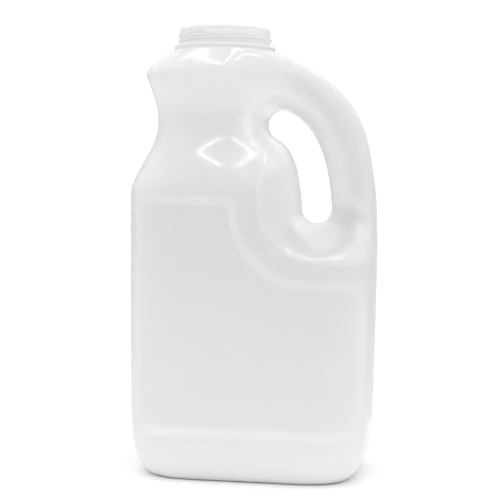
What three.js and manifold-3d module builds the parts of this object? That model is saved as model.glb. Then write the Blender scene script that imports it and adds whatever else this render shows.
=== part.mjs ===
// One-gallon blow-moulded plastic jug with a through handle and an open wide mouth.
// Millimetres, +Z up, the base on Z = 0, the handle towards +X, the parting plane at Y = 0.
// The jug is two mirrored halves. Each half is a depth above the parting plane, worked out
// along level rows that run from the left outline to the right one and part around the finger slot.
import * as THREE from 'three';
import { ParametricGeometry } from 'three/addons/geometries/ParametricGeometry.js';
import { mergeGeometries, mergeVertices } from 'three/addons/utils/BufferGeometryUtils.js';
import Module from 'manifold-3d';

const WALL = 1.0;
const BODY_TOP = 276.8;
const NECK_X = -23.4;

// Outlines on the parting plane, as [height, x].
const LEFT_EDGE = [
  [0, -76.3], [172, -80], [184, -80.2], [193, -78.9], [203, -74.7], [213, -69.9], [224, -67],
  [230, -66.6], [236, -67], [253, -72], [260.5, -74.6], [265.5, -72], [272, -63.2], [BODY_TOP, -56.2],
];
const RIGHT_EDGE = [
  [0, 79.4], [152, 80.2], [174, 79.6], [205, 75.6], [224, 71], [238, 64.4],
  [253, 52], [264.5, 36], [272.4, 20], [BODY_TOP, 9.4],
];

// Half depths, as [height, depth]: the body, the throat and head above the shoulder, and the handle side.
const BODY_DEPTH = [[0, 61.5], [180, 62.5]];
const HEAD_DEPTH = [
  [0, 36.2], [231, 36.2], [242, 38.2], [258, 43.6], [262, 44], [268.5, 40.4], [BODY_TOP, 32.8],
];
const SHOULDER_LOW = 187.5;
const SHOULDER_TOP = 230.5;
const HANDLE_DEPTH = [
  [0, 61.5], [134, 62.3], [139, 61.9], [142, 60.2], [146, 55.8], [152, 47.5], [158, 39], [164, 31],
  [170, 24.6], [176, 20.4], [184, 17.6], [217, 16.5], [242, 17.5], [258, 20.5], [268, 26], [BODY_TOP, 32.8],
];

// Where the main depth hands over to the handle's: the middle in x, and half the width of the change.
const CHANGE_X = [
  [0, 45], [162, 45], [174, 40], [202, 37], [216, 30], [228, 16],
  [242, 8], [258, 6], [268, 0], [BODY_TOP, -10],
];
const CHANGE_HALF = [
  [0, 16], [167, 14], [182, 12], [202, 12], [222, 18], [242, 28], [258, 28], [268, 20], [BODY_TOP, 14],
];

// How square each end of a row is: 2 is an ellipse, more is boxier.
const LEFT_POWER = [
  [0, 3.4], [180, 3.4], [190, 3], [198, 2.6], [216, 2.6], [250, 2.5], [262, 2.2], [BODY_TOP, 2],
];
const RIGHT_POWER = [[0, 3.4], [140, 3.4], [166, 2.4], [182, 2.2], [BODY_TOP, 2]];
// Length of the rounded right-hand end, and how fast the throat falls away on both sides of the neck axis.
const RIGHT_REACH = [
  [0, 56], [140, 56], [154, 46], [165, 28], [175, 17], [186, 15.2], [238, 15.2],
  [258, 20], [268, 26], [BODY_TOP, 32.8],
];
const THROAT_TURN = [
  [0, 0], [178, 0], [186, 0.005], [192, 0.0105], [198, 0.0135], [208, 0.0142], [220, 0.0145],
  [232, 0.014], [247, 0.01], [260, 0.006], [270, 0],
];

// The finger slot: a round-ended slot along a curve, pinched in from both faces.
const SLOT_TOP_MIDDLE = new THREE.Vector2(16.2, 228.4);
const SLOT_BEND = new THREE.Vector2(37.05, 219.45);
const SLOT_LOW_MIDDLE = new THREE.Vector2(40.2, 174.2);
const SLOT_RADIUS = 9.87;
const SLOT_STEPS = 96;
const SLOT_TOP = SLOT_TOP_MIDDLE.y + SLOT_RADIUS;
const SLOT_LOW = SLOT_LOW_MIDDLE.y - SLOT_RADIUS;
// Width of the pinched border on the body side and on the handle side, and how round its section is.
const PINCH_BODY = [[0, 23], [185, 21], [193, 18], [203, 13], [212, 11], [BODY_TOP, 11]];
const PINCH_HANDLE = [
  [0, 23], [146, 23], [152, 26], [158, 29], [164, 30], [170, 27], [178, 19], [186, 15], [228, 14],
  [238, 12], [BODY_TOP, 12],
];
const PINCH_POWER_BODY = [[0, 1.3], [188, 1.35], [206, 2], [BODY_TOP, 2]];
const PINCH_POWER_HANDLE = [[0, 1.3], [166, 1.35], [182, 2], [BODY_TOP, 2]];
const PINCH_CHANGE = 24;

// The heel curls the wall in to a flat base.
const HEEL_HEIGHT = 32;
const HEEL_IN_X = 15;
const HEEL_IN_Y = 14;

// The label panel, sunk into the front and the back.
const PANEL_SINK = 1.9;
const PANEL_STEP = 5.8;
const PANEL_STEP_ROUND = 0.13;
const PANEL_TOP = 177.5;
const PANEL_LOW = 31;
const PANEL_LEFT = -68;
const PANEL_RIGHT = 74;
const PANEL_FROM_SLOT = 38.5;
const PANEL_CORNER = 7;

// Neck: a bead, a plain tube with a rounded rim, and one turn and a bit of thread.
const NECK_RADIUS = 29.9;
const NECK_BORE = 28.4;
const NECK_FOOT_RADIUS = 31.9;
const NECK_TOP = 291.2;
const BORE_CUT = 12;
const RIM_ROUND = 0.7;
const BEAD_RADIUS = 33.3;
const BEAD_LOW = 277.4;
const BEAD_TOP = 279.6;
const BEAD_EDGE = 0.4;
const THREAD_RADIUS = 31.1;
const THREAD_PITCH = 4.23;
const THREAD_TURNS = 1.3;
const THREAD_START = 287.4;
const THREAD_ROOT_HALF = 1.3;
const THREAD_CREST_HALF = 0.45;
const THREAD_BITE = 0.6;
const THREAD_FADE = 0.08;

// Rows, as [from, to, rows, crowding], and columns of each half.
const ROWS = [
  [0, 24, 4, 'start'], [24, 38, 4, 'even'], [38, 118, 2, 'even'], [118, 142, 4, 'even'],
  [142, SLOT_LOW, 5, 'even'], [SLOT_LOW, SLOT_LOW_MIDDLE.y, 3, 'start'], [SLOT_LOW_MIDDLE.y, 186, 3, 'even'],
  [186, 218, 6, 'even'], [218, SLOT_TOP_MIDDLE.y, 3, 'even'], [SLOT_TOP_MIDDLE.y, SLOT_TOP, 3, 'end'],
  [SLOT_TOP, 258, 4, 'even'], [258, 270, 4, 'even'], [270, BODY_TOP, 2, 'even'],
];
const END_COLUMNS = { left: 8, right: 5 };
const COLUMNS = { left: 16, right: 10 };
const END_SHARE_MAX = 0.98;
const EVEN_BELOW = 30;
const SPLIT_FROM_NECK = 12;
const NECK_SEGMENTS = 44;
const THREAD_STEPS = 32;
const WELD = 1e-4;
const TINY = 1e-9;

const clamp = (t) => Math.min(Math.max(t, 0), 1);
const ease = (t) => clamp(t) ** 2 * (3 - 2 * clamp(t));
const waveStep = (t) => 0.5 - 0.5 * Math.cos(Math.PI * clamp(t));
const mix = (a, b, t) => a + (b - a) * t;

// A smooth curve through keys that never overshoots between them.
function through(keys, z) {
  const last = keys.length - 1;
  const gap = (i) => keys[i + 1][0] - keys[i][0];
  const rise = (i) => (keys[i + 1][1] - keys[i][1]) / gap(i);
  const slope = (i) => {
    if (i === 0) return rise(0);
    if (i === last) return rise(last - 1);
    const [before, after] = [rise(i - 1), rise(i)];
    if (before * after <= 0) return 0;
    const [a, b] = [2 * gap(i) + gap(i - 1), gap(i) + 2 * gap(i - 1)];
    return (a + b) / (a / before + b / after);
  };
  const level = Math.min(Math.max(z, keys[0][0]), keys[last][0]);
  let i = 0;
  while (i < last - 1 && keys[i + 1][0] < level) i += 1;
  const t = (level - keys[i][0]) / gap(i);
  const s = 1 - t;
  return (1 + 2 * t) * s * s * keys[i][1] + t * s * s * gap(i) * slope(i)
    + (1 + 2 * s) * t * t * keys[i + 1][1] - s * t * t * gap(i) * slope(i + 1);
}

const slotCurve = new THREE.QuadraticBezierCurve(SLOT_TOP_MIDDLE, SLOT_BEND, SLOT_LOW_MIDDLE);
const slotLine = slotCurve.getPoints(SLOT_STEPS);

function slotDistance(x, z) {
  return Math.min(...slotLine.map((p) => Math.hypot(x - p.x, z - p.y))) - SLOT_RADIUS;
}

// The slot's two edges on the row at height z, or one dividing line where there is no slot.
function slotEdges(z) {
  if (z < SLOT_LOW - TINY) return [SLOT_LOW_MIDDLE.x, SLOT_LOW_MIDDLE.x];
  if (z > SLOT_TOP + TINY) {
    const x = mix(SLOT_TOP_MIDDLE.x, NECK_X + SPLIT_FROM_NECK, ease((z - SLOT_TOP) / (BODY_TOP - SLOT_TOP)));
    return [x, x];
  }
  const near = slotLine.filter((p) => Math.abs(z - p.y) <= SLOT_RADIUS + TINY);
  const half = (p) => Math.sqrt(Math.max(SLOT_RADIUS ** 2 - (z - p.y) ** 2, 0));
  return [Math.min(...near.map((p) => p.x - half(p))), Math.max(...near.map((p) => p.x + half(p)))];
}

// Everything that depends on the height alone.
function rowAt(z) {
  const low = clamp(1 - z / HEEL_HEIGHT);
  const curl = 1 - Math.sqrt(1 - low * low);
  const left = through(LEFT_EDGE, z) + HEEL_IN_X * curl;
  const shoulder = waveStep((z - SHOULDER_LOW) / (SHOULDER_TOP - SHOULDER_LOW));
  return {
    left,
    right: through(RIGHT_EDGE, z) - HEEL_IN_X * curl,
    leftReach: NECK_X - left,
    rightReach: through(RIGHT_REACH, z) - HEEL_IN_X * curl,
    leftPower: through(LEFT_POWER, z),
    rightPower: through(RIGHT_POWER, z),
    main: mix(through(BODY_DEPTH, z), through(HEAD_DEPTH, z), shoulder) - HEEL_IN_Y * curl,
    handle: through(HANDLE_DEPTH, z) - HEEL_IN_Y * curl,
    turn: through(THROAT_TURN, z),
    changeX: through(CHANGE_X, z),
    changeHalf: through(CHANGE_HALF, z),
    pinchBody: through(PINCH_BODY, z),
    pinchHandle: through(PINCH_HANDLE, z),
    powerBody: through(PINCH_POWER_BODY, z),
    powerHandle: through(PINCH_POWER_HANDLE, z),
    plain: ease((SLOT_LOW - z) / EVEN_BELOW),
  };
}

// Height of a rounded end: 1 at u = 0, falling to 0 at u = 1.
const roundEnd = (u, power) => (1 - clamp(u) ** power) ** (1 / power);

// Steps along a rounded end at even angles; 0 at the tip, 1 where it meets the flat.
function endStep(t, power) {
  const angle = t * Math.PI / 2;
  const reach = (Math.cos(angle) ** power + Math.sin(angle) ** power) ** (-1 / power);
  return 1 - reach * Math.cos(angle);
}

function softMin(a, b, width) {
  const t = clamp(0.5 + 0.5 * (b - a) / width);
  return mix(b, a, t) - width * t * (1 - t);
}

// A straight ramp from 0 to 1 with rounded corners.
function softRamp(t, round) {
  if (t < round) return Math.max(t + round, 0) ** 2 / (4 * round);
  if (t > 1 - round) return 1 - Math.max(1 - t + round, 0) ** 2 / (4 * round);
  return t;
}

// How far the label panel is sunk at x, z: 1 inside it, 0 outside.
function panelShare(x, z, fromSlot) {
  const below = Math.abs(z - SLOT_LOW_MIDDLE.y) - SLOT_RADIUS;
  const clear = x > SLOT_LOW_MIDDLE.x ? Math.min(below, fromSlot) : fromSlot;
  const bounds = [clear - PANEL_FROM_SLOT, z - PANEL_LOW, x - PANEL_LEFT, PANEL_RIGHT - x];
  const inside = bounds.reduce((least, side) => softMin(least, side, PANEL_CORNER), PANEL_TOP - z);
  return softRamp(inside / PANEL_STEP + 0.5, PANEL_STEP_ROUND);
}

function depthAt(x, z, row) {
  const main = row.main * roundEnd(Math.abs(x - NECK_X) * row.turn, 2);
  const depth = mix(main, row.handle, ease((x - row.changeX) / (2 * row.changeHalf) + 0.5));
  const leftEnd = roundEnd((row.left + row.leftReach - x) / row.leftReach, row.leftPower);
  const rightEnd = roundEnd((x - row.right + row.rightReach) / row.rightReach, row.rightPower);
  const fromSlot = Math.max(slotDistance(x, z), 0);
  const toHandle = ease((x - row.changeX) / PINCH_CHANGE + 0.5);
  const border = mix(row.pinchBody, row.pinchHandle, toHandle);
  const pinch = roundEnd(1 - fromSlot / border, mix(row.powerBody, row.powerHandle, toHandle));
  return Math.max(depth * leftEnd * rightEnd * pinch - PANEL_SINK * panelShare(x, z, fromSlot), 0);
}

// Steps from 0 to 1 that are even, or start small, or end small.
const crowd = {
  even: (t) => t,
  start: (t) => 1 - Math.cos(t * Math.PI / 2),
  end: (t) => Math.sin(t * Math.PI / 2),
};

// Columns crowd at the slot, are even well below it, and go round the outline's ends at even angles.
function columnX(u, row, part) {
  const [edge, outline] = part === 'left' ? [row.edges[0], row.left] : [row.edges[1], row.right];
  const [reach, power] = part === 'left' ? [row.leftReach, row.leftPower] : [row.rightReach, row.rightPower];
  const room = Math.abs(outline - edge);
  const endFrom = mix(outline, edge, Math.min(reach / room, END_SHARE_MAX));
  const share = 1 - END_COLUMNS[part] / COLUMNS[part];
  if (u > share) return mix(outline, endFrom, endStep((1 - u) / (1 - share), power));
  const along = u / share;
  return mix(edge, endFrom, mix(crowd.start(along), along, row.plain));
}

const rowCount = ROWS.reduce((sum, [, , rows]) => sum + rows, 0);

function heightAt(v) {
  let index = Math.min(Math.max(v, 0), 1) * rowCount;
  for (const [from, to, rows, crowding] of ROWS) {
    if (index <= rows + TINY) return mix(from, to, crowd[crowding](clamp(index / rows)));
    index -= rows;
  }
  return BODY_TOP;
}

// One quarter of the skin: the left or right part of the front (side -1) or the back (side 1).
function skinPatch(part, side) {
  const rowOf = new Map();
  const point = (u, v, target) => {
    const z = heightAt(v);
    if (!rowOf.has(z)) rowOf.set(z, { ...rowAt(z), edges: slotEdges(z) });
    const row = rowOf.get(z);
    const x = columnX(clamp(u), row, part);
    const atSlot = u <= 0 && z > SLOT_LOW - TINY && z < SLOT_TOP + TINY;
    target.set(x, u >= 1 || atSlot ? 0 : side * depthAt(x, z, row), z);
  };
  const geometry = new ParametricGeometry(point, COLUMNS[part], rowCount);
  chooseDiagonals(geometry, side);
  if ((part === 'left') === (side < 0)) flip(geometry);
  return geometry;
}

// Each four-sided cell is split along the diagonal whose middle lies nearer to the true surface.
function chooseDiagonals(geometry, side) {
  const index = geometry.index.array;
  const at = (i) => new THREE.Vector3().fromBufferAttribute(geometry.attributes.position, i);
  const miss = (i, j) => {
    const middle = at(i).lerp(at(j), 0.5);
    return Math.abs(side * depthAt(middle.x, middle.z, rowAt(middle.z)) - middle.y);
  };
  for (let i = 0; i < index.length; i += 6) {
    const [a, b, d, , c] = index.slice(i, i + 5);
    if (miss(a, c) < miss(b, d)) index.set([a, b, c, a, c, d], i);
  }
}

function flip(geometry) {
  const index = geometry.index.array;
  for (let i = 0; i < index.length; i += 3) [index[i], index[i + 1]] = [index[i + 1], index[i]];
}

// A flat cap at height z, fanned from a middle point to the patches' first or last row.
function cap(patches, v, middleX, z) {
  return patches.map(({ geometry, part, side }) => {
    const columns = COLUMNS[part];
    const at = geometry.attributes.position;
    const from = v === 0 ? 0 : at.count - columns - 1;
    const rim = new ParametricGeometry((u, w, target) => {
      const i = from + Math.round(clamp(u) * columns);
      target.set(mix(at.getX(i), middleX, clamp(w)), mix(at.getY(i), 0, clamp(w)), z);
    }, columns, 1);
    if (((part === 'left') === (side < 0)) !== (v === 0)) flip(rim);
    return rim;
  });
}

function weld(geometries) {
  const joined = mergeGeometries(geometries.map((geometry) => {
    geometry.deleteAttribute('normal');
    geometry.deleteAttribute('uv');
    return geometry;
  }));
  return mergeVertices(joined, WELD);
}

const wasm = await Module();
wasm.setup();

function toSolid(geometry) {
  const index = geometry.index.array;
  const kept = [];
  for (let i = 0; i < index.length; i += 3) {
    const [a, b, c] = [index[i], index[i + 1], index[i + 2]];
    if (a !== b && b !== c && c !== a) kept.push(a, b, c);
  }
  return new wasm.Manifold(new wasm.Mesh({
    numProp: 3,
    vertProperties: new Float32Array(geometry.attributes.position.array),
    triVerts: new Uint32Array(kept),
  }));
}

function skin() {
  const patches = [];
  for (const side of [-1, 1]) {
    for (const part of ['left', 'right']) patches.push({ geometry: skinPatch(part, side), part, side });
  }
  const base = cap(patches, 0, 0, 0);
  const top = cap(patches, 1, NECK_X, BODY_TOP);
  return weld([...patches.map((patch) => patch.geometry), ...base, ...top]);
}

// The same skin, moved in by the wall.
function cavity(outer) {
  const inner = outer.clone();
  inner.computeVertexNormals();
  const at = inner.attributes.position;
  const normal = inner.attributes.normal;
  const [point, away] = [new THREE.Vector3(), new THREE.Vector3()];
  for (let i = 0; i < at.count; i += 1) {
    point.fromBufferAttribute(at, i).addScaledVector(away.fromBufferAttribute(normal, i), -WALL);
    at.setXYZ(i, point.x, point.y, point.z);
  }
  inner.deleteAttribute('normal');
  return inner;
}

function turned(profile) {
  const lathe = new THREE.LatheGeometry(profile.map(([r, z]) => new THREE.Vector2(r, z)), NECK_SEGMENTS);
  lathe.rotateX(Math.PI / 2);
  lathe.translate(NECK_X, 0, 0);
  return weld([lathe]);
}

function neckRing() {
  const foot = BODY_TOP - WALL / 2;
  return turned([
    [NECK_BORE, foot], [NECK_FOOT_RADIUS, foot],
    [BEAD_RADIUS, BEAD_LOW], [BEAD_RADIUS, BEAD_TOP - BEAD_EDGE], [BEAD_RADIUS - BEAD_EDGE, BEAD_TOP],
    [NECK_RADIUS, BEAD_TOP + BEAD_EDGE], [NECK_RADIUS, NECK_TOP - RIM_ROUND],
    [NECK_RADIUS - RIM_ROUND, NECK_TOP], [NECK_BORE + RIM_ROUND, NECK_TOP],
    [NECK_BORE, NECK_TOP - RIM_ROUND], [NECK_BORE, foot],
  ]);
}

// A ridge winding down clockwise from the front, fading into the neck at both ends.
function thread() {
  const inside = NECK_RADIUS - THREAD_BITE;
  const section = [
    [inside, -THREAD_ROOT_HALF], [THREAD_RADIUS, -THREAD_CREST_HALF],
    [THREAD_RADIUS, THREAD_CREST_HALF], [inside, THREAD_ROOT_HALF],
  ];
  const ridge = new ParametricGeometry((u, v, target) => {
    const along = clamp(v);
    const [radius, lift] = section[Math.round(clamp(u) * section.length) % section.length];
    const grown = ease(Math.min(along, 1 - along) / THREAD_FADE);
    const angle = -Math.PI / 2 - along * THREAD_TURNS * 2 * Math.PI;
    const r = mix(inside, radius, grown);
    const z = THREAD_START - along * THREAD_TURNS * THREAD_PITCH + lift * grown;
    target.set(NECK_X + r * Math.cos(angle), r * Math.sin(angle), z);
  }, section.length, THREAD_STEPS);
  return weld([ridge]);
}

const outerSkin = skin();
const bore = new THREE.CylinderGeometry(NECK_BORE, NECK_BORE, BORE_CUT, NECK_SEGMENTS);
bore.rotateX(Math.PI / 2);
bore.translate(NECK_X, 0, BODY_TOP);
const jug = toSolid(outerSkin)
  .subtract(toSolid(cavity(outerSkin)))
  .subtract(toSolid(weld([bore])))
  .add(toSolid(neckRing()))
  .add(toSolid(thread()));

const mesh = jug.getMesh();
const geometry = new THREE.BufferGeometry();
geometry.setAttribute('position', new THREE.BufferAttribute(mesh.vertProperties, mesh.numProp));
geometry.setIndex(new THREE.BufferAttribute(mesh.triVerts, 1));
geometry.computeVertexNormals();

const material = new THREE.MeshStandardMaterial({ color: 0xe9e9e8, roughness: 0.35 });
material.name = 'natural_plastic';
const node = new THREE.Mesh(geometry, material);
node.name = 'jug';
const group = new THREE.Group();
group.name = 'plastic_jug';
group.add(node);

export default group;
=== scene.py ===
# %% [markdown]
# # An empty, milky plastic jug
# The jug is blow-moulded: a hot tube of plastic is shut between two mirrored mould halves and blown out
# against them. It could be sculpted, or cut from boxes and tubes, but the mould shows a simpler way. One half
# is worked out as a height above the plane where the moulds meet, and the other half is its mirror image.

# %% Load the frame
import bmesh
import bpy
import math
import numpy as np
from mathutils import Matrix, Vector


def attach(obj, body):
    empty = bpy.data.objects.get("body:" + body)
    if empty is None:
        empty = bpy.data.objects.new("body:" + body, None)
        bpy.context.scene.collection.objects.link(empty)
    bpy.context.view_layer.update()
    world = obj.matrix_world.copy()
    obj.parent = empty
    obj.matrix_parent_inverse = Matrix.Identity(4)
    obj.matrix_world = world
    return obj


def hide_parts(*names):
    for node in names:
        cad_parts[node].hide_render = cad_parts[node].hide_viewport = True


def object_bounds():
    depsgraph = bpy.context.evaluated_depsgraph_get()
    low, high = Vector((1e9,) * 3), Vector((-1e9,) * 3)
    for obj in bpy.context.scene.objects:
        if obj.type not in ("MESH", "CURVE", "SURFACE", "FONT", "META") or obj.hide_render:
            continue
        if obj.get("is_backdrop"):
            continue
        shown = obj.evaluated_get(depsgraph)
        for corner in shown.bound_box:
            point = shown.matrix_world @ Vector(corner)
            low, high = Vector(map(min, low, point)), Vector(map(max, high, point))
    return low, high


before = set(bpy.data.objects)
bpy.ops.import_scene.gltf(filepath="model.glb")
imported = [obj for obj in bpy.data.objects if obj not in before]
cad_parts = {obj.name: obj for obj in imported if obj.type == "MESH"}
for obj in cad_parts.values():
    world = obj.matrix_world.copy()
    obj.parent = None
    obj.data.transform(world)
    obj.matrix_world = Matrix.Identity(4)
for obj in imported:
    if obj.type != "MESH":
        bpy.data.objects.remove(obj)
cad_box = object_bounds()
MM = 0.001
print("CAD box in mm:", [[round(v / MM, 1) for v in corner] for corner in cad_box])

# %% [markdown]
# ## Camera
# The picture was taken from a little to the handle side and from just above the middle of the jug, with a
# long lens, so upright edges stay almost upright. The camera could be moved by hand until the picture fits.
# Here it is set by numbers that can be measured: where it stands, how long its lens is in pixels, and which
# point of the picture looks straight ahead. A small roll matches the picture's slight lean.

# %% Which way the camera looks
PICTURE = 500
FOCAL_PX = 1353.0
AHEAD_PX = (255.8, 195.0)
CAMERA_DISTANCE = 900.0
CAMERA_HEIGHT = 182.0
CAMERA_TURN = math.radians(7.5)
CAMERA_ROLL = math.radians(1.2)


def turned_pair(a, b, angle):
    """Two square axes turned together: a goes towards b by the angle, and b away from a."""
    return math.cos(angle) * a + math.sin(angle) * b, math.cos(angle) * b - math.sin(angle) * a


def camera_axes():
    """Right, up and forward: a level camera, turned and tipped until AHEAD_PX looks level, then rolled."""
    forward = np.array([-math.sin(CAMERA_TURN), math.cos(CAMERA_TURN), 0.0])
    right = np.array([math.cos(CAMERA_TURN), math.sin(CAMERA_TURN), 0.0])
    up = np.array([0.0, 0.0, 1.0])
    yaw = math.atan((AHEAD_PX[0] - PICTURE / 2) / FOCAL_PX)
    pitch = math.atan((PICTURE / 2 - AHEAD_PX[1]) / FOCAL_PX)
    right, forward = turned_pair(right, forward, yaw)
    up, forward = turned_pair(up, forward, pitch)
    right, up = turned_pair(right, up, CAMERA_ROLL)
    return right, up, forward


camera_right, camera_up, camera_forward = camera_axes()
print("camera looks along", np.round(camera_forward, 3))

# %% Camera
SENSOR_WIDTH = 36.0
camera_data = bpy.data.cameras.new("camera")
camera_data.sensor_width = SENSOR_WIDTH
camera_data.lens = FOCAL_PX / PICTURE * SENSOR_WIDTH
camera = bpy.data.objects.new("camera", camera_data)
bpy.context.scene.collection.objects.link(camera)
place = np.eye(4)
place[:3, :3] = np.stack([camera_right, camera_up, -camera_forward], axis=1)
place[:3, 3] = np.array([CAMERA_DISTANCE * math.sin(CAMERA_TURN),
                         -CAMERA_DISTANCE * math.cos(CAMERA_TURN), CAMERA_HEIGHT]) * MM
camera.matrix_world = Matrix(place.tolist())
bpy.context.scene.camera = camera
print("camera lens in mm:", round(camera_data.lens, 1))

# %% [markdown]
# ## Curves that follow the height
# Nearly every size of the jug changes with height: where its outline is, how deep it is, how square its
# corners are. Each size is a short list of (height, value) keys in millimetres, with a smooth curve through
# them. A plain spline would overshoot between keys and the wall would ripple, so the slope at each key is
# held to a mean of the slopes on both sides.

# %% Steps
def ease(t):
    """A step from 0 to 1 with flat ends: 3 t squared minus 2 t cubed."""
    t = np.clip(t, 0.0, 1.0)
    return t * t * (3.0 - 2.0 * t)


def double_bend(t):
    """A step from 0 to 1 made of two parabolas: its slope grows evenly to the middle and then fades."""
    t = np.clip(t, 0.0, 1.0)
    return np.where(t < 0.5, 2.0 * t * t, 1.0 - 2.0 * (1.0 - t) ** 2)


def mix(a, b, t):
    """Straight change from a to b as t goes from 0 to 1."""
    return a + (b - a) * t


print("a quarter of the way, an eased step has risen", ease(0.25), "and a double bend", double_bend(0.25))

# %% Curves through keys
def key_slopes(gap, rise):
    """Slope at each key: the weighted harmonic mean of the two slopes beside it, or 0 where their signs
    differ. The first and last keys take the only slope they have."""
    before, after = rise[:-1], rise[1:]
    agree = before * after > 0.0
    a, b = 2.0 * gap[1:] + gap[:-1], gap[1:] + 2.0 * gap[:-1]
    mean = (a + b) / (a / np.where(agree, before, 1.0) + b / np.where(agree, after, 1.0))
    return np.concatenate([rise[:1], np.where(agree, mean, 0.0), rise[-1:]])


def through(keys, z):
    """The cubic between neighbouring keys that has their values and slopes."""
    at, value = np.array(keys, dtype=float).T
    gap = np.diff(at)
    slope = key_slopes(gap, np.diff(value) / gap)
    z = np.clip(z, at[0], at[-1])
    i = np.clip(np.searchsorted(at, z) - 1, 0, len(at) - 2)
    t = (z - at[i]) / gap[i]
    s = 1.0 - t
    return ((1.0 + 2.0 * t) * s * s * value[i] + t * s * s * gap[i] * slope[i]
            + (1.0 + 2.0 * s) * t * t * value[i + 1] - s * t * t * gap[i] * slope[i + 1])


print("keys 0, 1, 1 half way along:", through([(0, 0), (1, 1), (2, 1)], np.array([0.5, 1.5])))

# %% [markdown]
# ## Outlines
# From the front, the left edge bulges at the head, narrows at the throat and swells into the body. The right
# edge runs from the neck over the handle and straight down. They could be drawn as curves and traced by hand;
# a few keys measured along the silhouette are enough, and the same keys give the widths of every row.

# %% Outlines
BODY_TOP = 276.8
NECK_X = -23.4
BODY_MIDDLE, THROAT = 100.0, 230.0
LEFT_EDGE = [(0, -76.3), (172, -80), (184, -80.2), (193, -78.9), (203, -74.7), (213, -69.9), (224, -67),
             (230, -66.6), (236, -67), (253, -72), (260.5, -74.6), (265.5, -72), (272, -63.2),
             (BODY_TOP, -56.2)]
RIGHT_EDGE = [(0, 79.4), (152, 80.2), (174, 79.6), (205, 75.6), (224, 71), (238, 64.4),
              (253, 52), (264.5, 36), (272.4, 20), (BODY_TOP, 9.4)]
throat_width = through(RIGHT_EDGE, THROAT) - through(LEFT_EDGE, THROAT)
print("width at the throat, over the handle:", round(float(throat_width), 1), "mm")

# %% [markdown]
# ## Depths
# Seen from the side, the body is deep, the throat is slim and the handle is a thin tube. The shoulder carries
# the body's depth over to the throat's in a double bend, steepest in its middle, because its highlights bend
# back there in a "<", which a straight slope wouldn't give. Above the head the wall folds over tightly into a
# straight cone up to the neck, so a lamp's image lies along it as one patch. The handle's depth takes over
# where CHANGE_X says, across twice CHANGE_HALF.

# %% Depths
BODY_DEPTH = [(0, 61.5), (180, 62.5)]
HEAD_DEPTH = [(0, 36), (231, 36), (242, 38.2), (258, 43.6), (261.5, 44.05), (263.2, 43.7), (265, 42.6),
              (BODY_TOP, 32.8)]
SHOULDER_LOW, SHOULDER_TOP = 182.0, 236.0
HANDLE_DEPTH = [(0, 61.5), (136, 62.3), (139.6, 61.9), (142, 60.4), (146, 55.6), (152, 47.3), (158, 39),
                (164, 31), (170, 24.6), (176, 20.4), (184, 17.6), (217, 16.5), (242, 17.5), (258, 20.5),
                (268, 26), (BODY_TOP, 32.8)]
CHANGE_X = [(0, 45), (162, 45), (174, 40), (202, 37), (216, 30), (228, 16), (242, 8), (258, 6), (268, 0),
            (BODY_TOP, -10)]
CHANGE_HALF = [(0, 16), (167, 14), (182, 12), (202, 12), (222, 18), (242, 28), (258, 28), (268, 20),
               (BODY_TOP, 14)]
for name, keys, z in (("body", BODY_DEPTH, BODY_MIDDLE), ("throat", HEAD_DEPTH, THROAT),
                      ("handle", HANDLE_DEPTH, THROAT)):
    print(name, "is", round(2 * float(through(keys, z)), 1), "mm deep")

# %% [markdown]
# ## Corners seen from above
# Cut level, the body is a rounded box and the throat is nearly round. Two outlines could be blended from row
# to row, but one formula does both: a power of 2 gives an ellipse and a higher power a squarer corner. The
# throat also turns away gently on both sides of the neck's axis, so that it isn't a flat plate. Near the
# base, the heel curls the wall in.

# %% Corners
LEFT_POWER = [(0, 3.4), (180, 3.4), (190, 3), (198, 2.6), (216, 2.6), (250, 2.5), (260, 2.42),
              (264.7, 2.19), (269.5, 2.04), (BODY_TOP, 2)]
RIGHT_POWER = [(0, 3.4), (140, 3.4), (166, 2.4), (182, 2.2), (BODY_TOP, 2)]
RIGHT_REACH = [(0, 56), (140, 56), (154, 46), (165, 28), (175, 17), (186, 15.2), (238, 15.2), (258, 20),
               (268, 26), (BODY_TOP, 32.8)]
THROAT_TURN = [(0, 0), (172, 0), (182, 0.0035), (190, 0.0075), (198, 0.0113), (204, 0.0128), (209, 0.0142),
               (214, 0.0152), (220, 0.0158), (232, 0.0145), (246, 0.009), (256, 0.003), (262, 0)]
HEEL_HEIGHT, HEEL_IN_X, HEEL_IN_Y = 32.0, 15.0, 14.0


def round_end(u, power):
    """Height of a rounded end, 1 at u = 0 and 0 at u = 1: the power-th root of 1 minus u to that power."""
    return (1.0 - np.clip(u, 0.0, 1.0) ** power) ** (1.0 / power)


def heel_curl(z):
    """How far the heel has curled in, 0 above it and 1 at the base: along a quarter of an ellipse."""
    low = np.clip(1.0 - z / HEEL_HEIGHT, 0.0, 1.0)
    return 1.0 - np.sqrt(1.0 - low * low)


print("half way along an end, the body keeps", round(float(round_end(0.5, LEFT_POWER[0][1])), 2),
      "of its depth and the cone's top", round(float(round_end(0.5, LEFT_POWER[-1][1])), 2))

# %% [markdown]
# ## Finger slot
# The slot is where the two mould halves pinch the plastic flat and the middle is punched out. It could be cut
# with a Boolean, but then the wall would meet it at a hard corner. Instead it is a round-ended slot along a
# bent line, and the wall slopes down to it from both faces. The distance to that line gives both the slot's
# edge and the sloping border. Below the slot the border is a straight-sided dish; beside it, it is round.

# %% Slot
SLOT_TOP_MIDDLE = np.array([16.2, 228.4])
SLOT_BEND = np.array([37.05, 219.45])
SLOT_LOW_MIDDLE = np.array([40.2, 174.2])
SLOT_RADIUS = 9.87
SLOT_TOP = SLOT_TOP_MIDDLE[1] + SLOT_RADIUS
SLOT_LOW = SLOT_LOW_MIDDLE[1] - SLOT_RADIUS
SLOT_STEPS = 161
along = np.linspace(0.0, 1.0, SLOT_STEPS)[:, None]
slot_line = ((1 - along) ** 2 * SLOT_TOP_MIDDLE + 2 * along * (1 - along) * SLOT_BEND
             + along ** 2 * SLOT_LOW_MIDDLE)


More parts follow.
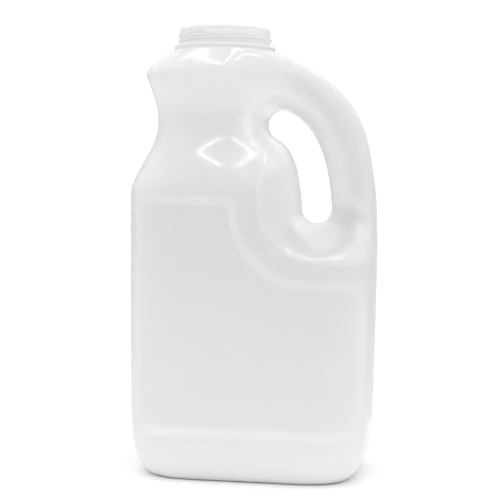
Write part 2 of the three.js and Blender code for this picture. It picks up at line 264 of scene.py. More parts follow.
def slot_distance(x, z):
    """Distance from the slot's edge: to the nearest point of its middle line, less its radius."""
    nearest = np.full(x.shape, np.inf)
    for px, pz in slot_line:
        nearest = np.minimum(nearest, (x - px) ** 2 + (z - pz) ** 2)
    return np.maximum(np.sqrt(nearest) - SLOT_RADIUS, 0.0)


print("slot from height", round(SLOT_LOW, 1), "to", round(SLOT_TOP, 1), "mm")

# %% Sloping border of the slot
PINCH_BODY = [(0, 23), (185, 21), (193, 18), (203, 13), (212, 11), (BODY_TOP, 11)]
PINCH_HANDLE = [(0, 23), (146, 23), (152, 26), (158, 29), (164, 30), (170, 27), (178, 19), (186, 15),
                (228, 14), (238, 12), (BODY_TOP, 12)]
PINCH_POWER_BODY = [(0, 1.3), (188, 1.35), (206, 2), (BODY_TOP, 2)]
PINCH_POWER_HANDLE = [(0, 1.3), (166, 1.35), (182, 2), (BODY_TOP, 2)]
PINCH_CHANGE = 24.0


def pinch_share(x, from_slot, row):
    """1 clear of the slot, 0 at its edge: a rounded end whose width and power go over from the body's to the
    handle's across PINCH_CHANGE."""
    to_handle = ease((x - row["change_x"]) / PINCH_CHANGE + 0.5)
    border = mix(row["pinch_body"], row["pinch_handle"], to_handle)
    return round_end(1.0 - from_slot / border, mix(row["power_body"], row["power_handle"], to_handle))


print("border:", PINCH_BODY[-1][1], "mm wide beside the slot and", PINCH_BODY[0][1], "mm in the dish")

# %% [markdown]
# ## Painted light beside the slot
# Beside the slot the walls face each other across a narrow gap and lie in shade, and the shader paints light
# there to lift it. That could be painted on by hand as vertex weights. The distance from the slot is already
# known, so a mark made from it goes onto the skin, and the shader reads it later.

# %% Where light is painted beside the slot
SLOT_PAINT_WIDE, SLOT_PAINT_FROM = 19.0, (154.0, 168.0)


# Mask of the painted light beside the slot, where the slot's walls shade each other.
def pinched(z, from_slot):
    """1 at the slot's edge and 0 at SLOT_PAINT_WIDE from it, fading out down towards the dish."""
    up = ease((z - SLOT_PAINT_FROM[0]) / (SLOT_PAINT_FROM[1] - SLOT_PAINT_FROM[0]))
    return up * ease(1.0 - from_slot / SLOT_PAINT_WIDE)


print("pinched plastic reaches", SLOT_PAINT_WIDE, "mm from the slot")

# %% [markdown]
# ## Sizes of a row
# A level row of the jug needs all these sizes at once. They could be looked up one by one where they are
# used; gathering them in one place keeps the wall's formula short, and the heel's curl is taken off once.

# %% Sizes of a row
def row_sizes(z):
    """Every size that depends on height alone, from its keys, with the heel's curl taken off."""
    curl = heel_curl(z)
    left = through(LEFT_EDGE, z) + HEEL_IN_X * curl
    shoulder = double_bend((z - SHOULDER_LOW) / (SHOULDER_TOP - SHOULDER_LOW))
    return {
        "left": left,
        "right": through(RIGHT_EDGE, z) - HEEL_IN_X * curl,
        "left_reach": NECK_X - left,
        "right_reach": through(RIGHT_REACH, z) - HEEL_IN_X * curl,
        "left_power": through(LEFT_POWER, z),
        "right_power": through(RIGHT_POWER, z),
        "main": mix(through(BODY_DEPTH, z), through(HEAD_DEPTH, z), shoulder) - HEEL_IN_Y * curl,
        "handle": through(HANDLE_DEPTH, z) - HEEL_IN_Y * curl,
        "turn": through(THROAT_TURN, z),
        "change_x": through(CHANGE_X, z),
        "change_half": through(CHANGE_HALF, z),
        "pinch_body": through(PINCH_BODY, z),
        "pinch_handle": through(PINCH_HANDLE, z),
        "power_body": through(PINCH_POWER_BODY, z),
        "power_handle": through(PINCH_POWER_HANDLE, z),
    }


print("sizes at the body's middle:",
      {name: round(float(size), 2) for name, size in row_sizes(BODY_MIDDLE).items()})

# %% [markdown]
# ## Label panel
# A shallow panel is sunk into the front and the back, so that a label doesn't rub. Its border follows the top
# of the body, swings down around the slot, and runs along the bumper at the bottom. It could be inset face by
# face; here it is one formula. The soft minimum of the distances to its sides is positive inside the panel,
# and a straight ramp with rounded corners turns that into the sloped step that catches the light.

# %% Panel
PANEL_SINK, PANEL_STEP, PANEL_STEP_ROUND, PANEL_CORNER = 1.9, 5.8, 0.13, 7.0
PANEL_TOP, PANEL_LOW, PANEL_LEFT, PANEL_RIGHT = 177.5, 32.8, -68.0, 74.0
PANEL_FROM_SLOT = 38.5


def soft_min(a, b, width):
    """The smaller of a and b, rounded where they are within width of each other."""
    t = np.clip(0.5 + 0.5 * (b - a) / width, 0.0, 1.0)
    return mix(b, a, t) - width * t * (1.0 - t)


def soft_ramp(t, rounding):
    """A straight ramp from 0 to 1 whose two corners are rounded by parabolas."""
    low = np.where(t < rounding, np.maximum(t + rounding, 0.0) ** 2 / (4.0 * rounding), t)
    high = 1.0 - np.maximum(1.0 - t + rounding, 0.0) ** 2 / (4.0 * rounding)
    return np.where(t > 1.0 - rounding, high, low)


def panel_inside(x, z, from_slot):
    """How far a point is inside the panel's border: the soft minimum of its distances to all the sides."""
    below = np.abs(z - SLOT_LOW_MIDDLE[1]) - SLOT_RADIUS
    clear = np.where(x > SLOT_LOW_MIDDLE[0], np.minimum(below, from_slot), from_slot)
    inside = PANEL_TOP - z
    for side in (clear - PANEL_FROM_SLOT, z - PANEL_LOW, x - PANEL_LEFT, PANEL_RIGHT - x):
        inside = soft_min(inside, side, PANEL_CORNER)
    return inside


def panel_share(inside):
    """1 on the panel's floor and 0 outside it: a soft ramp that is half way up on the border."""
    return soft_ramp(inside / PANEL_STEP + 0.5, PANEL_STEP_ROUND)


print("panel", PANEL_RIGHT - PANEL_LEFT, "by", PANEL_TOP - PANEL_LOW, "mm, sunk", PANEL_SINK, "mm")

# %% [markdown]
# ## Depth of one half
# Now the pieces come together. At any x and z, the half's height above the parting plane is a product: the
# depth there, times how far each rounded end has fallen, times the pinch beside the slot. The panel is taken
# off at the end. Because it is one formula, every part runs smoothly into the next, as blown plastic does.

# %% Depth of one half
def depth_at(x, z, row):
    """Height above the parting plane: the main depth handing over to the handle's, times a rounded end at
    each outline, times the pinch beside the slot, less the panel."""
    main = row["main"] * round_end(np.abs(x - NECK_X) * row["turn"], 2.0)
    depth = mix(main, row["handle"], ease((x - row["change_x"]) / (2.0 * row["change_half"]) + 0.5))
    left_end = round_end((row["left"] + row["left_reach"] - x) / row["left_reach"], row["left_power"])
    right_end = round_end((x - row["right"] + row["right_reach"]) / row["right_reach"], row["right_power"])
    from_slot = slot_distance(x, z)
    full = depth * left_end * right_end * pinch_share(x, from_slot, row)
    return np.maximum(full - PANEL_SINK * panel_share(panel_inside(x, z, from_slot)), 0.0)


middle_z = np.array([BODY_MIDDLE])
middle_depth = depth_at(np.zeros(1), middle_z, row_sizes(middle_z))
print("half depth in the middle of the panel:", round(float(middle_depth[0]), 1), "mm")

# %% [markdown]
# ## Rows
# The grid's rows are level. Even rows would be simpler, but the small bends would need so many of them that
# the plain wall was full of faces. So they crowd where the shape bends quickly: at the panel's steps, in the
# dish, at the slot's ends and at the head's edge. The slot parts its rows into a left and a right run.

# %% Rows
def even(a, b, count):
    """Even steps from a, stopping short of b."""
    return np.linspace(a, b, count, endpoint=False)


def crowd_start(a, b, count):
    """Steps from a towards b that start small: one minus a cosine."""
    return a + (b - a) * (1.0 - np.cos(even(0.0, math.pi / 2, count)))


def crowd_end(a, b, count):
    """Steps from a towards b that end small: a sine."""
    return a + (b - a) * np.sin(even(0.0, math.pi / 2, count))


# Each run of rows: from a height, to a height, and how many.
wall_z = np.concatenate([
    crowd_start(0, 24, 8), even(24, 38, 14), even(38, 116, 12), even(116, 146, 26),
    crowd_end(146, SLOT_LOW, 11), crowd_start(SLOT_LOW, 184, 22), even(184, 218, 20),
    crowd_end(218, SLOT_TOP, 14), crowd_start(SLOT_TOP, 258, 12), even(258, 266, 10),
    even(266, 270, 2), np.linspace(270, BODY_TOP, 6)])
print("rows:", len(wall_z))

# %% Where the slot parts a row
SPLIT_FROM_NECK = 12.0
TINY = 1e-6


def in_slot(z):
    """True for the rows that the slot parts in two."""
    return (z > SLOT_LOW - TINY) & (z < SLOT_TOP + TINY)


def slot_edges(z):
    """The slot's left and right edge on each row: the outermost circles along its middle line.
    Rows outside the slot get one dividing line, which leans over to the neck above it."""
    over = SLOT_RADIUS ** 2 - (z[:, None] - slot_line[None, :, 1]) ** 2
    half = np.sqrt(np.maximum(over, 0.0))
    left = np.where(over > -TINY, slot_line[None, :, 0] - half, np.inf).min(axis=1)
    right = np.where(over > -TINY, slot_line[None, :, 0] + half, -np.inf).max(axis=1)
    up = ease((z - SLOT_TOP) / (BODY_TOP - SLOT_TOP))
    lean = mix(SLOT_TOP_MIDDLE[0], NECK_X + SPLIT_FROM_NECK, up)
    divide = np.where(z < SLOT_LOW, SLOT_LOW_MIDDLE[0], lean)
    return np.where(in_slot(z), left, divide), np.where(in_slot(z), right, divide)


print("rows that the slot parts:", int(in_slot(wall_z).sum()))

# %% [markdown]
# ## Columns
# The columns leave the slot, where they crowd, and go round the outline at even angles, so that the tight
# turns get enough of them. Well below the slot there is nothing to crowd at, and they are spread evenly.

# %% Columns
COLUMNS = {"left": 80, "right": 38}
END_COLUMNS = {"left": 24, "right": 18}
END_SHARE_MAX = 0.98
EVEN_BELOW = 30.0


def end_step(t, power):
    """Share of a rounded end that is passed at even angles, 0 at its tip."""
    angle = t * math.pi / 2
    reach = (np.cos(angle) ** power + np.sin(angle) ** power) ** (-1.0 / power)
    return 1.0 - reach * np.cos(angle)


def column_x(part, row, edge):
    """x of every column on every row: crowded from the slot to where the end begins, then round the end."""
    outline, reach, power = (row[name][:, None] for name in (part, part + "_reach", part + "_power"))
    edge = edge[:, None]
    end_from = mix(outline, edge, np.minimum(reach / np.abs(outline - edge), END_SHARE_MAX))
    flat = np.linspace(0.0, 1.0, COLUMNS[part] - END_COLUMNS[part] + 1)[None, :-1]
    turn = np.linspace(1.0, 0.0, END_COLUMNS[part] + 1)[None, :]
    plain = ease((SLOT_LOW - wall_z) / EVEN_BELOW)[:, None]
    step = mix(1.0 - np.cos(flat * math.pi / 2), flat, plain)
    return np.concatenate([mix(edge, end_from, step), mix(outline, end_from, end_step(turn, power))], axis=1)


print("columns on each side of the slot:", COLUMNS)

# %% [markdown]
# ## Wall of one half
# The grids of both sides of the slot are filled in one go, as whole arrays. On the outline and on the slot's
# edge the depth is set to nothing, so that the mirrored half meets it there without a gap. The two marks for
# the shader are worked out on the same grid.

# %% Wall of one half
row = row_sizes(wall_z)
edges = dict(zip(("left", "right"), slot_edges(wall_z)))
wall, marks = {}, {"panel_inside": {}, "pinched": {}}
for part in ("left", "right"):
    x = column_x(part, row, edges[part])
    z = np.repeat(wall_z[:, None], x.shape[1], axis=1)
    y = depth_at(x, z, {name: size[:, None] for name, size in row.items()})
    y[:, -1] = 0.0
    y[in_slot(wall_z), 0] = 0.0
    wall[part] = np.stack([x, y, z], axis=-1)
    from_slot = slot_distance(x, z)
    marks["panel_inside"][part] = panel_inside(x, z, from_slot)
    marks["pinched"][part] = pinched(z, from_slot)
print("wall grid:", {part: grid.shape[:2] for part, grid in wall.items()})

# %% [markdown]
# ## Neck and thread
# The neck is turned from a profile: a bead at its foot, a plain tube and a rounded rim. The thread could be a
# separate coil, but on a moulded neck it is part of the wall, so here it is a ridge in the radius. Each point
# of the neck knows how far round it is, so it knows how high the thread passes there.

# %% Neck profile
NECK_RADIUS, NECK_TOP, RIM_ROUND, NECK_FILLET = 29.9, 291.2, 1.3, 0.8
BEAD_RADIUS, BEAD_LOW, BEAD_TOP, BEAD_EDGE = 33.3, 277.4, 279.6, 0.5
NECK_ROWS = 26


def arc(r, z, radius, start, stop, count):
    """Points along part of a circle in the neck's profile, from one angle to another, in degrees."""
    angle = np.radians(np.linspace(start, stop, count))
    return np.stack([r + radius * np.cos(angle), z + radius * np.sin(angle)], axis=1)


tube_z = np.linspace(BEAD_TOP + NECK_FILLET, NECK_TOP - RIM_ROUND, NECK_ROWS + 2)[1:-1]
# Each arc: its middle (radius, height), its own radius, first and last angle, number of points.
neck_profile = np.concatenate([
    arc(BEAD_RADIUS - BEAD_EDGE, BEAD_LOW + BEAD_EDGE, BEAD_EDGE, -25, 0, 3),
    arc(BEAD_RADIUS - BEAD_EDGE, BEAD_TOP - BEAD_EDGE, BEAD_EDGE, 0, 90, 5),
    arc(NECK_RADIUS + NECK_FILLET, BEAD_TOP + NECK_FILLET, NECK_FILLET, 270, 180, 4),
    np.stack([np.full(NECK_ROWS, NECK_RADIUS), tube_z], axis=1),
    arc(NECK_RADIUS - RIM_ROUND, NECK_TOP - RIM_ROUND, RIM_ROUND, 0, 80, 6)])
print("neck profile:", len(neck_profile), "points")

# %% Thread
THREAD_HEIGHT, THREAD_PITCH, THREAD_TURNS, THREAD_START = 1.2, 4.23, 1.3, 287.4
THREAD_HALF, THREAD_FADE, THREAD_CREST = 1.25, 0.06, 1.35


def thread_ridge(angle, z):
    """Height of the thread at an angle round the neck: it drops by one pitch a turn, clockwise from the
    front, and fades at both ends. THREAD_CREST above 1 flattens its crest."""
    round_share = np.mod(-math.pi / 2 - angle, 2 * math.pi) / (2 * math.pi)
    ridge = np.zeros(z.shape)
    for lap in range(math.ceil(THREAD_TURNS)):
        gone = round_share + lap
        fade = ease(np.minimum(gone, THREAD_TURNS - gone) / THREAD_FADE)
        off = np.abs(z - (THREAD_START - gone * THREAD_PITCH)) / THREAD_HALF
        ridge = np.maximum(ridge, THREAD_HEIGHT * fade * ease(THREAD_CREST * (1.0 - off)))
    return ridge


print("thread drops", round(THREAD_PITCH * THREAD_TURNS, 1), "mm in all")

# %% [markdown]
# ## A quarter of the skin
# Below the wall, the base is the wall's first row drawn in to one middle point. Above it, the neck carries
# on from the last row, column by column. Base, wall and neck could be three meshes, but their joints would
# show in the gloss, so a quarter of the skin is one grid from the base's middle to the rim. Four of them,
# left and right of the slot on the front and the back, make the jug.

# %% Quarter of the skin
BASE_ROWS = 5


def quarter(part, side):
    """The left or right part of the front (side -1) or back (side 1), from the base's middle to the rim."""
    grid = wall[part] * np.array([1.0, side, 1.0])
    base = grid[:1] * even(0.0, 1.0, BASE_ROWS)[:, None, None]
    angle = np.arctan2(grid[-1, :, 1], grid[-1, :, 0] - NECK_X)[None, :]
    z = neck_profile[:, 1:] + np.zeros(angle.shape)
    radius = neck_profile[:, :1] + thread_ridge(angle, z)
    neck = np.stack([NECK_X + radius * np.cos(angle), radius * np.sin(angle), z], axis=-1)
    return np.concatenate([base, grid, neck])


print("a quarter has", len(quarter("left", -1.0)), "rows, from the base's middle to the rim")

# %% Four quarters
def grid_faces(rows, columns, start, flip):
    """Four corners of every cell of a grid, in the order that faces outwards."""
    first = (np.arange(rows - 1)[:, None] * columns + np.arange(columns - 1)[None, :]).ravel() + start
    cell = np.stack([first, first + 1, first + 1 + columns, first + columns], axis=1)
    return cell[:, ::-1] if flip else cell


points, faces, count = [], [], 0
skin_marks = {name: [] for name in marks}
other_rows = ((BASE_ROWS, len(neck_profile)), (0, 0))  # the marks go on unchanged into base and neck
for part in ("left", "right"):
    for side in (-1.0, 1.0):
        grid = quarter(part, side)
        faces.append(grid_faces(*grid.shape[:2], count, (part == "left") == (side < 0)))
        points.append(grid.reshape(-1, 3))
        for name, mark in marks.items():
            skin_marks[name].append(np.pad(mark[part], other_rows, mode="edge").ravel())
        count += len(points[-1])
print("points before welding:", count)

# %% [markdown]
# ## One skin, then its wall
# The four quarters go into one mesh. Their shared edges are welded, which also closes the base's middle
# point, and then the faces are turned outwards. The inner wall could be a second grid, but a Solidify
# modifier makes it from the skin, with the same thickness all over, and leaves the mouth open.

# %% Weld the skin
WELD, SLIVER = 0.002, 0.0002
skin = bpy.data.meshes.new("jug_skin")
skin.from_pydata((np.concatenate(points) * MM).tolist(), [], np.concatenate(faces).tolist())
for name, values in skin_marks.items():
    skin.attributes.new(name, "FLOAT", "POINT").data.foreach_set("value", np.concatenate(values))
work = bmesh.new()
work.from_mesh(skin)
bmesh.ops.remove_doubles(work, verts=work.verts, dist=WELD * MM)
bmesh.ops.dissolve_degenerate(work, edges=work.edges, dist=SLIVER * MM)
bmesh.ops.recalc_face_normals(work, faces=work.faces)
open_edges = sum(edge.is_boundary for edge in work.edges)
work.to_mesh(skin)
work.free()
skin.shade_smooth()
print("skin faces:", len(skin.polygons), "open edges, at the mouth:", open_edges)

# %% Give it a wall
WALL = 1.0
jug = bpy.data.objects.new("jug_skin", skin)
bpy.context.scene.collection.objects.link(jug)
wall_maker = jug.modifiers.new("wall", "SOLIDIFY")
wall_maker.thickness = WALL * MM
wall_maker.offset = -1.0
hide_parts("jug")
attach(jug, "root")
print("wall in mm:", WALL)

# %% [markdown]
# ## Milky plastic
# Natural polyethylene has no pigment. Light enters the thin wall, scatters and comes out elsewhere, so
# shadows are soft and pale, and the surface keeps a waxy gloss. It could be a mix of glass and diffuse, which
# is slow and noisy. Subsurface scattering with a wide radius gives the same pale depth and stays clean. The
# specular level is above its usual half, because the wall's inner face reflects as well as its outer one.

# %% Plastic shader
SCATTER = 0.006
PLASTIC_IOR, PLASTIC_SPECULAR = 1.54, 1.0
plastic = bpy.data.materials.new("natural_plastic")
plastic.use_nodes = True
plastic_tree = plastic.node_tree
nodes, links = plastic_tree.nodes, plastic_tree.links
shader = nodes["Principled BSDF"]
shader.inputs["Subsurface Radius"].default_value = (1.0, 1.0, 1.0)
shader.inputs["Subsurface Scale"].default_value = SCATTER
shader.inputs["IOR"].default_value = PLASTIC_IOR
shader.inputs["Specular IOR Level"].default_value = PLASTIC_SPECULAR
coordinates = nodes.new("ShaderNodeTexCoord")
parts = nodes.new("ShaderNodeSeparateXYZ")
links.new(coordinates.outputs["Object"], parts.inputs["Vector"])
print("plastic scatters over", SCATTER / MM, "mm")

# %% [markdown]
# ## Short ways to make nodes
# A finish is a tree of nodes. It could be wired by hand in the Shader editor. A script needs four or five
# lines for each node, so the kinds that come up again get a function that makes one, wires it and hands back
# its output. The white room further down uses the same functions.

# %% Map Range and Math nodes
def carry_over(tree, value, start=(0.0, 1.0), to=(0.0, 1.0), smooth=False):
    """A Map Range node: the range start is carried over to the range to, straight or with flat ends."""
    node = tree.nodes.new("ShaderNodeMapRange")
    node.interpolation_type = "SMOOTHSTEP" if smooth else "LINEAR"
    node.inputs["From Min"].default_value, node.inputs["From Max"].default_value = start
    node.inputs["To Min"].default_value, node.inputs["To Max"].default_value = to
    tree.links.new(value, node.inputs["Value"])
    return node.outputs["Result"]


def worked_out(tree, operation, *values):
    """A Math node: each value is another node's output or a plain number."""
    node = tree.nodes.new("ShaderNodeMath")
    node.operation = operation
    for socket, value in zip(node.inputs, values):
        if isinstance(value, bpy.types.NodeSocket):
            tree.links.new(value, socket)
        else:
            socket.default_value = value
    return node.outputs["Value"]


height_share = carry_over(plastic_tree, parts.outputs["Z"], start=(0.0, NECK_TOP * MM))
from_seam = worked_out(plastic_tree, "ABSOLUTE", parts.outputs["Y"])
print("nodes so far:", len(nodes))

# %% Ramp and noise nodes
def ramp_along(tree, place, keys):
    """A Color Ramp node with (place, grey level) keys, read at a place from 0 to 1."""
    node = tree.nodes.new("ShaderNodeValToRGB")
    for at, _ in keys[1:-1]:
        node.color_ramp.elements.new(at)
    for stop, (at, level) in zip(node.color_ramp.elements, keys):
        stop.position = at
        stop.color = (level, level, level, 1.0)
    tree.links.new(place, node.inputs["Fac"])
    return node.outputs["Color"]


def noise(tree, where, scale, detail=2.0):
    """A Noise node: soft lumps, about scale of them to the metre, with detail finer layers on top."""
    node = tree.nodes.new("ShaderNodeTexNoise")
    node.inputs["Scale"].default_value, node.inputs["Detail"].default_value = scale, detail
    tree.links.new(where, node.inputs["Vector"])
    return node.outputs["Fac"]


CLOUD_SCALE, CLOUD_DETAIL = 18.0, 3.0
cloud = noise(plastic_tree, coordinates.outputs["Object"], CLOUD_SCALE, CLOUD_DETAIL)
print("clouds in the plastic are about", round(1.0 / CLOUD_SCALE / MM), "mm wide")

# %% [markdown]
# ## Milk and painted light by height
# Two ramps follow the height, one for how white the plastic is and one for how much of the light wanders
# inside the wall. Both carry painted light and shade. Towards the heel and the bumper the plastic is whiter
# and less light wanders inside, so the lower body is paler: painted light that lifts the shade near the
# floor. The head and the neck let more light through, and the white darkens at the neck and the rim: painted
# shade against the light from above. The second ramp dips at the bead under the neck, which is painted light
# in the shade under the bead. Slow clouds keep the milk from being one flat tone.

# %% Milk and painted light
# Whiter towards the heel, painted light against the floor's shade; darker at the neck and the rim, painted
# shade.
MILK_WITH_PAINTED_LIGHT = [(0.0, 0.88), (0.085, 0.87), (0.13, 0.86), (0.21, 0.85), (0.52, 0.85), (0.69, 0.85), (0.80, 0.84),
        (0.92, 0.82), (0.955, 0.80), (0.97, 0.66), (1.0, 0.60)]
# Less light wanders inside towards the base and at the bead, so they are paler: painted light in their shade.
SCATTER_WITH_PAINTED_LIGHT = [(0.0, 0.36), (0.04, 0.42), (0.085, 0.58), (0.11, 0.66), (0.18, 0.72), (0.24, 0.75), (0.40, 0.84),
        (0.52, 0.95), (0.945, 1.0), (0.952, 0.70), (0.961, 0.70), (0.97, 1.0), (1.0, 1.0)]
CLOUD_RANGE = (0.985, 1.015)
milk_with_painted_light = ramp_along(plastic_tree, height_share, MILK_WITH_PAINTED_LIGHT)
scatter_with_painted_light = ramp_along(plastic_tree, height_share, SCATTER_WITH_PAINTED_LIGHT)
tone = nodes.new("ShaderNodeVectorMath")
tone.operation = "SCALE"
links.new(milk_with_painted_light, tone.inputs["Vector"])
links.new(carry_over(plastic_tree, cloud, to=CLOUD_RANGE), tone.inputs["Scale"])
links.new(tone.outputs["Vector"], shader.inputs["Base Color"])
print("milk from", MILK_WITH_PAINTED_LIGHT[0][1], "at the heel to", MILK_WITH_PAINTED_LIGHT[-1][1], "at the rim")

# %% [markdown]
# ## Paler step, and painted light beside the slot
# On the panel's sloped step and on the border beside the slot, less of the light wanders inside the wall, so
# they look whiter. Beside the slot this is painted light, which lifts the shade between the slot's close
# walls.
# They could be painted on the mesh, but then the step's edge would follow the grid in small teeth. The skin
# carries two smooth marks instead, and the shader turns them into masks.

# %% Paler step, painted light beside the slot
STEP_THIN, STEP_FADE = 0.86, 0.6
# Beside the slot less light wanders inside the wall, which paints light into the slot's shade.
SLOT_PAINTED_LIGHT_SHARE = 0.4


def mark_on_skin(name):
    """An Attribute node, which reads one of the skin's own marks."""
    node = nodes.new("ShaderNodeAttribute")
    node.attribute_name = name
    return node.outputs["Fac"]


from_border = worked_out(plastic_tree, "ABSOLUTE", mark_on_skin("panel_inside"))
step_edge = (PANEL_STEP / 2 - STEP_FADE, PANEL_STEP / 2 + STEP_FADE)
step = carry_over(plastic_tree, from_border, step_edge, (STEP_THIN, 1.0), smooth=True)
# Painted light beside the slot: the mark makes the wall paler where it lies in shade.
pinch = carry_over(plastic_tree, mark_on_skin("pinched"), to=(1.0, SLOT_PAINTED_LIGHT_SHARE))
passing = worked_out(plastic_tree, "MULTIPLY", scatter_with_painted_light, step)
passing = worked_out(plastic_tree, "MULTIPLY", passing, pinch)
links.new(passing, shader.inputs["Subsurface Weight"])
print("the panel's step passes", STEP_THIN, "and the slot's edge", SLOT_PAINTED_LIGHT_SHARE, "of the wall's light")

# %% [markdown]
# ## Gloss, peel and mould seam
# A moulded wall is never quite smooth. Up close it has a faint orange peel, its gloss drifts a little, and a
# fine raised line runs round it where the mould halves met. All three are too small to model, so the drift
# goes into the roughness, and peel and seam go into one bump.

# %% Gloss and bump
GLOSS_RANGE = (0.12, 0.16)
PEEL_SCALE, PEEL_SHARE = 420.0, 0.03
SEAM_HALF = 0.45
BUMP_HEIGHT = 0.0003
links.new(carry_over(plastic_tree, cloud, to=GLOSS_RANGE), shader.inputs["Roughness"])
peel = noise(plastic_tree, coordinates.outputs["Object"], PEEL_SCALE)
seam = carry_over(plastic_tree, from_seam, (0.0, SEAM_HALF * MM), (1.0, 0.0), smooth=True)
bump = nodes.new("ShaderNodeBump")
bump.inputs["Distance"].default_value = BUMP_HEIGHT
links.new(worked_out(plastic_tree, "MULTIPLY_ADD", peel, PEEL_SHARE, seam), bump.inputs["Height"])
links.new(bump.outputs["Normal"], shader.inputs["Normal"])
skin.materials.append(plastic)
print("plastic:", plastic.name, "with", len(nodes), "nodes")

# %% [markdown]
# ## Floor
# The jug stands on a small pale board. A wide floor would be simpler, but the jug's sides mirror it at a
# glancing angle, and their outline melts into the white behind. The board ends where the picture is already
# white, so its edge doesn't show. Very slow noise in its grey keeps it from being one flat colour.

# %% Floor
FLOOR_HALF = 0.2
floor_mesh = bpy.data.meshes.new("floor")
corners = np.array([[-1, -1, 0], [1, -1, 0], [1, 1, 0], [-1, 1, 0]]) * FLOOR_HALF
floor_mesh.from_pydata(corners.tolist(), [], [[0, 1, 2, 3]])
floor = bpy.data.objects.new("floor", floor_mesh)
bpy.context.scene.collection.objects.link(floor)
floor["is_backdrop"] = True
print("floor", 2 * FLOOR_HALF, "m wide")

# %% Floor paint
FLOOR_GREY, FLOOR_ROUGH, FLOOR_DRIFT = (0.87, 0.89), 0.9, 5.0
paint = bpy.data.materials.new("pale_floor")
paint.use_nodes = True
paint_tree = paint.node_tree
paint_shader = paint_tree.nodes["Principled BSDF"]
paint_shader.inputs["Roughness"].default_value = FLOOR_ROUGH
board = paint_tree.nodes.new("ShaderNodeTexCoord")
drift = noise(paint_tree, board.outputs["Object"], FLOOR_DRIFT)
paint_tree.links.new(carry_over(paint_tree, drift, to=FLOOR_GREY), paint_shader.inputs["Base Color"])
floor_mesh.materials.append(paint)
print("floor greys:", FLOOR_GREY)

# %% [markdown]
# ## White room
# A milky jug is best lit from all round, as in a light tent. The light could come from many lamps; here the
# world is the tent. It is nearly even behind the camera and at the sides. It is dimmer straight behind the
# jug, because the jug's edges mirror that part, and they have to stay a little darker than the white
# background. A ramp over the angle to the camera's first direction sets the level, from behind the camera
# at 0 to behind the jug at 1.

# %% Light tent
ROUND_LEVELS = [(0.0, 1.09), (0.08, 1.09), (0.33, 1.17), (0.62, 1.02), (0.85, 0.76), (1.0, 0.72)]
room = bpy.data.worlds.new("white_room")
bpy.context.scene.world = room
room.use_nodes = True
room_tree = room.node_tree
room_nodes, room_links = room_tree.nodes, room_tree.links
look = room_nodes.new("ShaderNodeTexCoord")
ahead = room_nodes.new("ShaderNodeVectorMath")
ahead.operation = "DOT_PRODUCT"
ahead.inputs[1].default_value = tuple(camera_forward)
room_links.new(look.outputs["Generated"], ahead.inputs[0])
from_behind = carry_over(room_tree, ahead.outputs["Value"], start=(-1.0, 1.0))
round_level = ramp_along(room_tree, from_behind, ROUND_LEVELS)
print("tent levels:", ROUND_LEVELS[0][1], "behind the camera,", ROUND_LEVELS[-1][1], "behind the jug")

# %% [markdown]
# ## Light from above and below
# The tent's roof is brighter, which whitens the floor. Well below the horizon the tent is bright as well, in
# place of the wide floor that isn't there. Both could be lamps of their own; two smooth steps in the world
# are simpler. They go by the height of the direction, from -1 straight down to 1 straight up.

# %% Roof and ground of the tent
OVERHEAD_FROM, OVERHEAD_LEVEL = (0.1, 0.5), 1.28
UNDER_FROM, UNDER_LEVEL = (-0.06, -0.30), 1.2


def lifted(level, to, share):
    """A Mix node: the level goes over to another one by a share from 0 to 1."""
    node = room_nodes.new("ShaderNodeMix")
    node.inputs["B"].default_value = to
    room_links.new(share, node.inputs["Factor"])
    room_links.new(level, node.inputs["A"])
    return node.outputs["Result"]


direction = room_nodes.new("ShaderNodeSeparateXYZ")
room_links.new(look.outputs["Generated"], direction.inputs["Vector"])
under = carry_over(room_tree, direction.outputs["Z"], UNDER_FROM, smooth=True)
overhead = carry_over(room_tree, direction.outputs["Z"], OVERHEAD_FROM, smooth=True)
level = lifted(round_level, UNDER_LEVEL, under)
level = lifted(level, OVERHEAD_LEVEL, overhead)
tent = room_nodes["Background"]
tent.inputs["Color"].default_value = (1.0, 1.0, 1.0, 1.0)
room_links.new(level, tent.inputs["Strength"])
print("tent levels:", OVERHEAD_LEVEL, "overhead,", UNDER_LEVEL, "below the horizon")

# %% [markdown]
# ## White backdrop
# The picture's background is plain white. A backdrop that bright would also light the jug's edges from behind
# until they melt into it, so only what the camera sees directly is white: the world tells camera rays from
# the rays that light the jug. The Standard view keeps that white a full white.

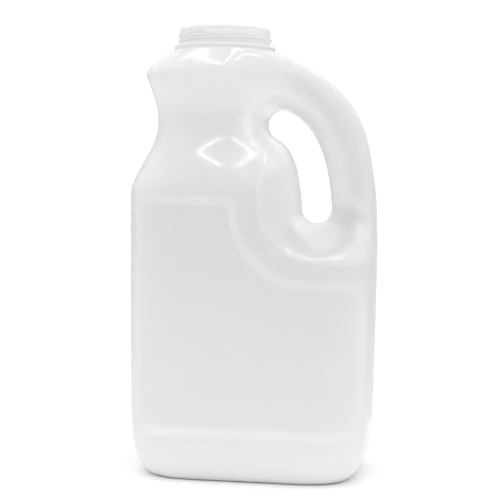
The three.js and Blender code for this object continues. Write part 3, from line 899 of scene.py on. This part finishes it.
# %% Backdrop
BACKDROP_LEVEL = 1.05
backdrop = room_nodes.new("ShaderNodeBackground")
backdrop.inputs["Color"].default_value = (1.0, 1.0, 1.0, 1.0)
backdrop.inputs["Strength"].default_value = BACKDROP_LEVEL
ray = room_nodes.new("ShaderNodeLightPath")
choose = room_nodes.new("ShaderNodeMixShader")
room_links.new(ray.outputs["Is Camera Ray"], choose.inputs[0])
room_links.new(tent.outputs["Background"], choose.inputs[1])
room_links.new(backdrop.outputs["Background"], choose.inputs[2])
room_links.new(choose.outputs["Shader"], room_nodes["World Output"].inputs["Surface"])
bpy.context.scene.view_settings.view_transform = "Standard"
print("backdrop level:", BACKDROP_LEVEL)

# %% [markdown]
# ## Strip lights
# The shoulder carries two bright marks, "<" and ">", the cone under the neck a white patch, and the dish
# under the slot a bright line along its rim. They are mirror images of long lamps overhead. Two run from back
# to front and close in towards the camera. On the hollow upper half of the shoulder a lamp's image runs one
# way and on the bulging lower half the other, which bends it into a hook. The third hangs at the far right,
# where the dish's rim mirrors it. Glowing planes could stand for them; thin area lights are less noisy.

# %% Strip lights
STRIP_HEIGHT = 1.6
# Name, middle (x, y) and size (width, length) in metres, turn in degrees, power in watts.
STRIPS = [("left_strip", (-0.461, -0.02), (0.045, 1.416), 28.9, 1.2),
          ("right_strip", (0.155, -0.105), (0.022, 1.127), -10.0, 0.75),
          ("far_right_strip", (0.50, 0.06), (0.06, 0.6), -10.0, 0.7)]


def strip_light(name, middle, size, turn, power):
    """A long flat light that hangs over the jug and faces straight down, turned about the upright axis."""
    data = bpy.data.lights.new(name, "AREA")
    data.shape = "RECTANGLE"
    data.size, data.size_y = size
    data.energy = power
    light = bpy.data.objects.new(name, data)
    light.location = (*middle, STRIP_HEIGHT)
    light.rotation_euler = (0.0, 0.0, math.radians(turn))
    bpy.context.scene.collection.objects.link(light)
    print(name, "is", size[1], "m long")


for strip in STRIPS:
    strip_light(*strip)

# %% [markdown]
# The skin must stay the size that the solid model says. Both boxes are written down side by side.

boxes = {"cad": cad_box, "visual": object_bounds()}
boxes = {name: [[float(v) for v in corner] for corner in box] for name, box in boxes.items()}
print("boxes in mm:", {name: np.round(np.array(box) / MM, 1).tolist() for name, box in boxes.items()})
